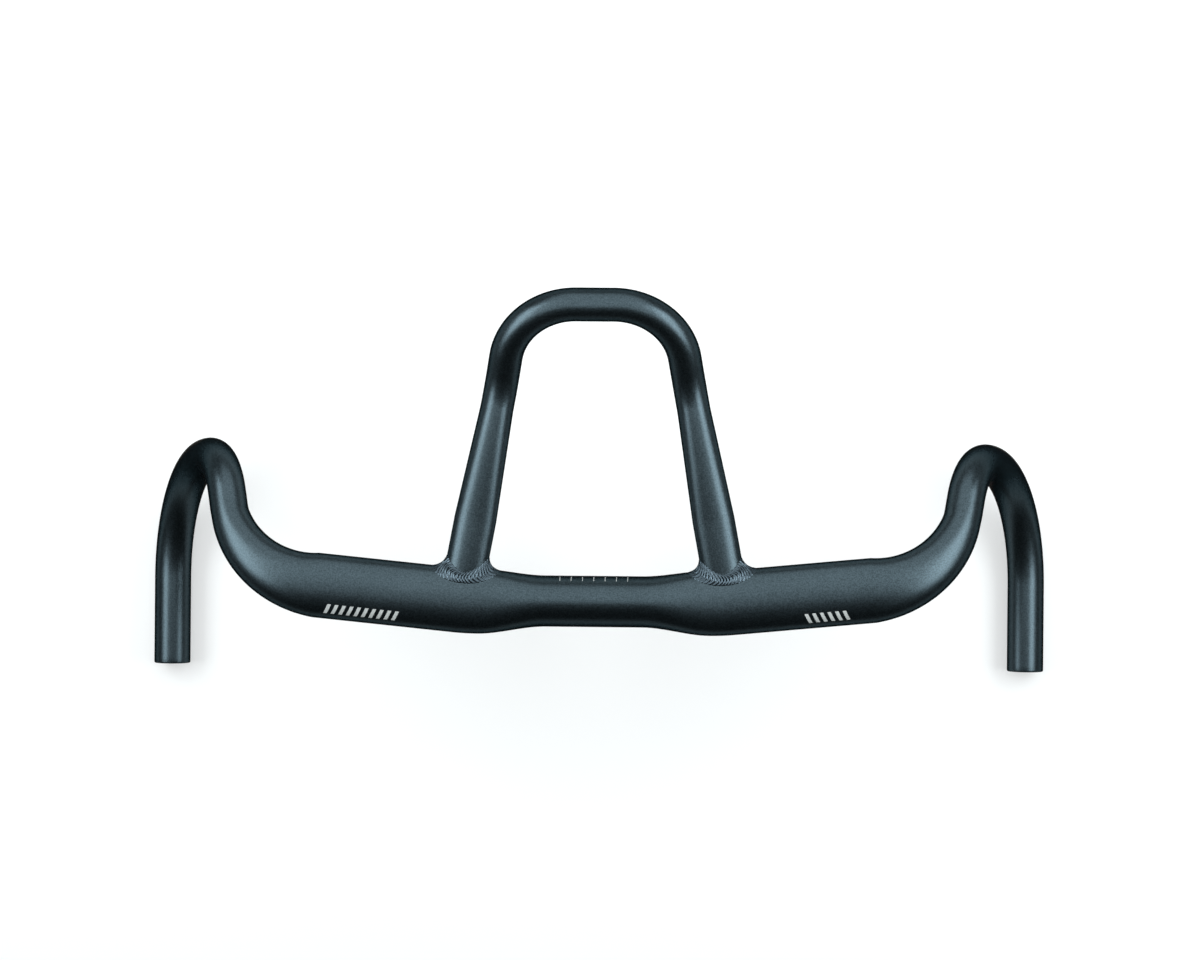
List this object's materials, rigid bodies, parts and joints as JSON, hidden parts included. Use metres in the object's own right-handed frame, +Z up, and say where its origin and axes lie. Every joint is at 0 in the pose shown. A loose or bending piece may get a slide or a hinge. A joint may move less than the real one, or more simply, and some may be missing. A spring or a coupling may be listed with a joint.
{
  "type": "flared drop handlebar",
  "caption": "Flared drop handlebar with wing-shaped tops and a welded tube hoop in front.",
  "frame": {"origin": "centre of the round stem-clamp zone, on its axis", "axes": "+X to the rider's right along the clamp zone, +Y forward, +Z up; the drops run level along Y"},
  "size_m": [0.589, 0.2407, 0.1885],
  "materials": {
    "bar_tube": "bead-blasted and anodised satin black",
    "hoop_tube": "bead-blasted and anodised satin black",
    "weld": "rippled weld bead, anodised satin black"
  },
  "bodies": {
    "root": {"bar_tops": "bar_tube", "hook_left": "bar_tube", "hook_right": "bar_tube", "drop_left": "bar_tube", "drop_right": "bar_tube", "hoop": "hoop_tube", "weld_bead_left": "weld", "weld_bead_right": "weld"}
  },
  "joints": []
}
